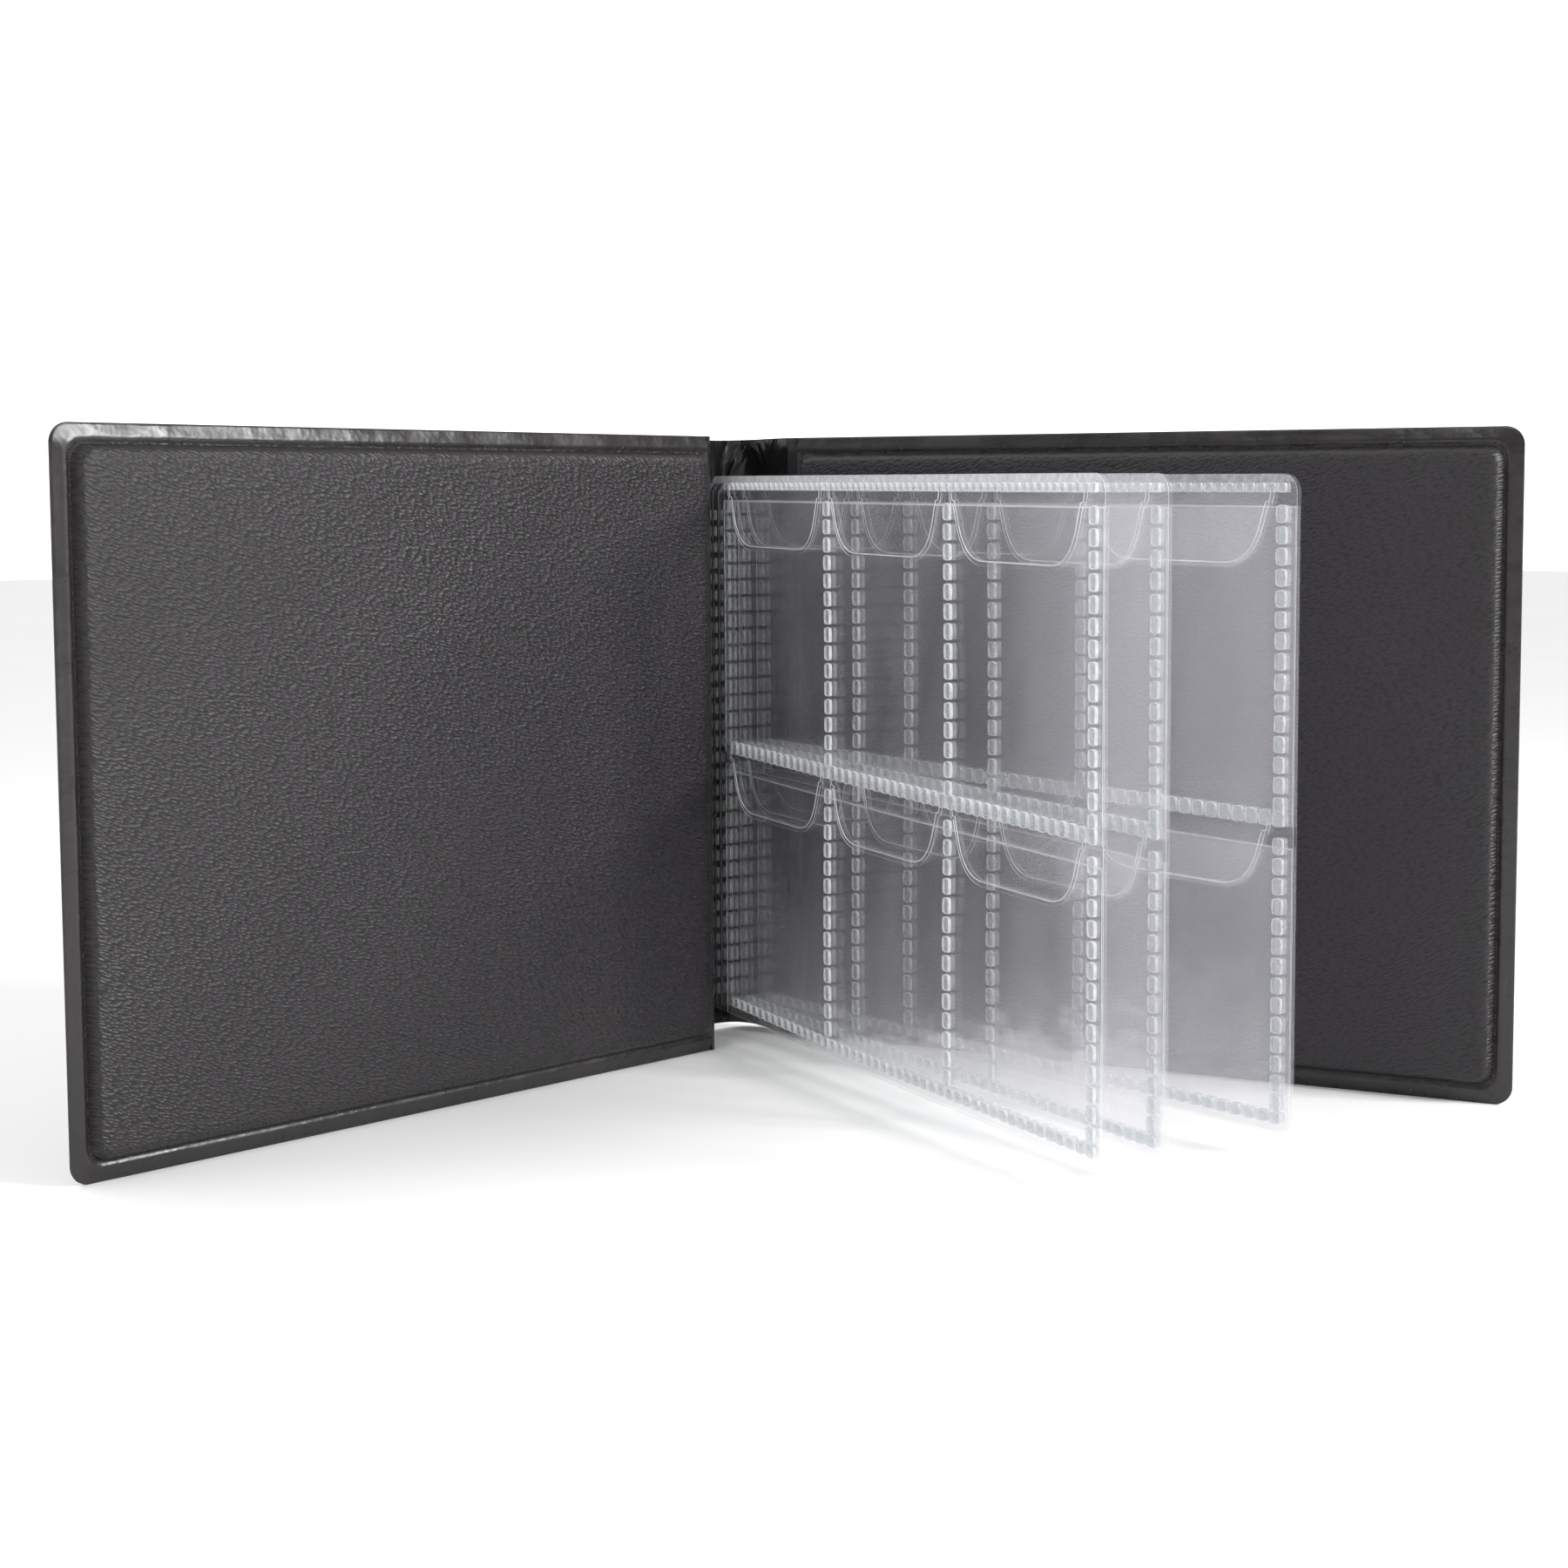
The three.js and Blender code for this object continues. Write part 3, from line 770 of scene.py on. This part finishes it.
def pad_rings(half_s, half_z):
    """One weld pad's loops from its foot over the raised rim to the dished middle."""
    turn = np.linspace(0, 2 * np.pi, pad_sides, endpoint=False) + np.pi / pad_sides
    square = np.maximum(np.abs(np.cos(turn)), np.abs(np.sin(turn))) ** pad_roundness
    loops = []
    for inset, rise in pad_profile:
        across, tall = half_s - inset * pad_rim, half_z - inset * pad_rim
        loops.append((across * np.cos(turn) / square, tall * np.sin(turn) / square, rise))
    return loops


def weld_pads(leaf, name, centres, finish):
    """A page's pads as one piece: centres holds s, z, half sizes and the level of the top film."""
    points, faces, finish_of_face = [], [], []
    for s0, z0, half_s, half_z, level in centres:
        start = len(points)
        # Painted shade: pads of the first column take the deep-shaded copies of the rim and dish
        # finishes.
        rim, dish = (2, 3) if s0 < first_column_end else (0, 1)
        for ds, dz, rise in pad_rings(half_s, half_z):
            height = -film_half if rise == below_films else level + film_half + rise * mm
            points.extend(leaf.place(s0 + ds, z0 + dz, np.full(ds.shape, height)).tolist())
        for loop in range(len(pad_profile) - 1):
            for k in range(pad_sides):
                a = start + loop * pad_sides + k
                b = start + loop * pad_sides + (k + 1) % pad_sides
                faces.append((a, b, b + pad_sides, a + pad_sides))
                finish_of_face.append(rim)
        middle = start + (len(pad_profile) - 1) * pad_sides
        faces.append([middle + k for k in range(pad_sides)])
        faces.append([start + k for k in reversed(range(pad_sides))])
        finish_of_face += [dish, dish]
    mesh = bpy.data.meshes.new(name)
    mesh.from_pydata(points, [], faces)
    for material in (finish["rim"], finish["dish"], deep_shaded_finish["rim"], deep_shaded_finish["dish"]):
        mesh.materials.append(material)
    mesh.polygons.foreach_set("material_index", finish_of_face)
    mesh.shade_smooth()
    mesh.set_sharp_from_angle(angle=pad_sharp_bend)
    piece = bpy.data.objects.new(name, mesh)
    scene.collection.objects.link(piece)
    return piece


columns_at = np.linspace(weld_first, weld_last, weld_columns)
leaves = [Leaf(number) for number in range(1, page_count + 1)]
for leaf in leaves:
    s, z = film_grid(-margin_length, page_width, page_foot, page_top, page_corner, page_corner)
    # The margin's upper inner corner is cut off at a slant, so that it clears the spine's edge.
    cut = np.clip((slant_inset - margin_length - s) * slant_slope, 0, None)
    above_cut = z - page_top + slant_height
    z = np.where(above_cut > 0, z - cut * np.clip(above_cut / slant_height, 0, 1), z)
    # The strip above the upper weld has been under the tool as well, and is frosted.
    frosted = np.where(z[1:, 1:] > page_top - frosted_strip, 2, 0)
    back = page_film(leaf, f"{leaf.name}_back_film", s, z, 0.0, frosted)
    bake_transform(back)
    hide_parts(f"{leaf.name}_margin", f"{leaf.name}_back_sheet")
    for row, z_low, z_high, low_radius in (
        ("upper", middle_weld - pocket_overlap, upper_mouth, 0),
        ("lower", page_foot, lower_mouth, page_corner),
    ):
        s, z = film_grid(pocket_start, page_width, z_low, z_high, low_radius, 0)
        # The mouth's edge is left a little thick by the hot knife.
        thick = np.where(z[:-1, 1:] > z_high - thick_mouth, 1, 0)
        pocket = page_film(leaf, f"{leaf.name}_{row}_pocket_film", s, z, layer_pitch, thick)
        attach(pocket, leaf.name)
        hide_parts(f"{leaf.name}_{row}_pocket")
    centres = []
    for column in columns_at:
        for z0 in np.arange(page_foot + column_foot, page_top - column_top, pad_pitch):
            if min(abs(z0 - weld) for weld, _, _ in weld_rows) > row_clearance:
                centres.append((column, z0, pad_wide / 2, pad_long / 2, layer_pitch))
    for weld, pitch, wide in weld_rows:
        for s0 in lines_between(weld_first, weld_last, pitch):
            centres.append((s0, weld, (pitch - pad_gap) / 2, wide / 2, layer_pitch))
    pads = weld_pads(leaf, f"{leaf.name}_welds", centres, leaf.finish)
    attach(pads, leaf.name)
    # Painted shade: the pads on the margin, deep by the spine, take the deep-shaded finish.
    root_pads = weld_pads(leaf, f"{leaf.name}_root_welds", [
        (-margin_length + root_pad_inset, z0, *root_pad_half, 0.0)
        for z0 in np.arange(page_foot + root_pad_foot, page_top - slant_height, pad_pitch)
    ], deep_shaded_finish)
    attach(root_pads, f"{leaf.name}_margin")

# ---- flaps ----
# Every pocket is shut by a tongue of the same film, welded along its upper edge, tapering and
# round-cornered, with a beaded rim where the hot cutting edge sealed it. Page 1's swing freely;
# here they are fixed in place and do not follow the page.
flap_length, flap_taper, flap_corner, flap_band = 15.3 * mm, 4.5 * mm, 8 * mm, 1.6 * mm
flap_side = 2.5 * mm  # from a weld's middle to the flap's side
flap_flare, flare_easing = 0.9 * mm, 0.35  # how far the flap widens again at its weld
bead_inset, bead_half, bead_rise, bead_sink = 0.95 * mm, 0.11 * mm, 0.12 * mm, 0.05 * mm


def flap_half(weld):
    """One side of a flap as run-in and height, from the weld round to the flat of its tip."""
    tip, straight = weld - flap_length, 1 - flap_corner / (flap_length - flap_band)
    side = [(-flap_flare, weld), (-flap_flare, weld - flap_band),
            (-flare_easing * flap_flare, weld - 2 * flap_band)]
    side += [(flap_taper * straight * k,
              weld - flap_band + (tip + flap_corner - weld + flap_band) * k)
             for k in (0.3, 0.5, 0.75, 1.0)]
    start, control = (flap_taper * straight, tip + flap_corner), (flap_taper, tip)
    end = (flap_taper + flap_corner, tip)
    for k in np.linspace(0, 1, 11)[1:]:
        side.append(tuple((1 - k) ** 2 * a + 2 * k * (1 - k) * b + k * k * c
                          for a, b, c in zip(start, control, end)))
    return np.array(side)


def flap_film(leaf, name, weld, column):
    """The tongue itself, and the bead that runs round inside its edge."""
    left, right_side = columns_at[column] + flap_side, columns_at[column + 1] - flap_side
    side = flap_half(weld)
    t = np.linspace(0, 1, 9)
    s = (left + side[:, :1]) * (1 - t) + (right_side - side[:, :1]) * t
    z = np.repeat(side[:, 1:], len(t), axis=1)
    tongue = page_film(leaf, name, s, z, 2 * layer_pitch)
    outline = np.concatenate([
        np.stack([left + side[:, 0], side[:, 1]], -1),
        np.stack([right_side - side[::-1, 0], side[::-1, 1]], -1),
    ])
    way = np.gradient(outline, axis=0)
    way /= np.maximum(np.linalg.norm(way, axis=1), hair)[:, None]
    inner = np.stack([-way[:, 1], way[:, 0]], -1)
    base = outline + inner * bead_inset
    base[0, 1] = base[-1, 1] = weld
    rows = np.stack([base - inner * bead_half, base, base + inner * bead_half])
    face = 2 * layer_pitch + film_half
    heights = face + np.array([0.0, bead_rise, 0.0])[:, None] + np.zeros(len(base))
    top = leaf.place(rows[..., 0], rows[..., 1], heights)
    low = leaf.place(rows[..., 0], rows[..., 1], np.full_like(heights, face - bead_sink))
    bead = shell(f"{name}_bead", top, low, rows, [leaf.finish["edge"]], rim=0)
    return tongue, bead


def joined(name, pieces):
    with bpy.context.temp_override(active_object=pieces[0], selected_editable_objects=pieces):
        bpy.ops.object.join()
    pieces[0].name = name
    return pieces[0]


for leaf in leaves:
    for row, weld in (("upper", upper_weld), ("lower", middle_weld)):
        tongues = []
        for column in range(weld_columns - 1):
            name = f"{leaf.name}_{row}_tongue_{column + 1}"
            tongues.append(joined(name, list(flap_film(leaf, name, weld, column))))
        if leaf is leaves[0]:
            for column, tongue in enumerate(tongues):
                node_name = f"{leaf.name}_{row}_flap_{column + 1}"
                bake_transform(tongue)
                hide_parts(node_name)
        else:
            strip = joined(f"{leaf.name}_{row}_tongues", tongues)
            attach(strip, leaf.name)
            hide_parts(f"{leaf.name}_{row}_flaps")
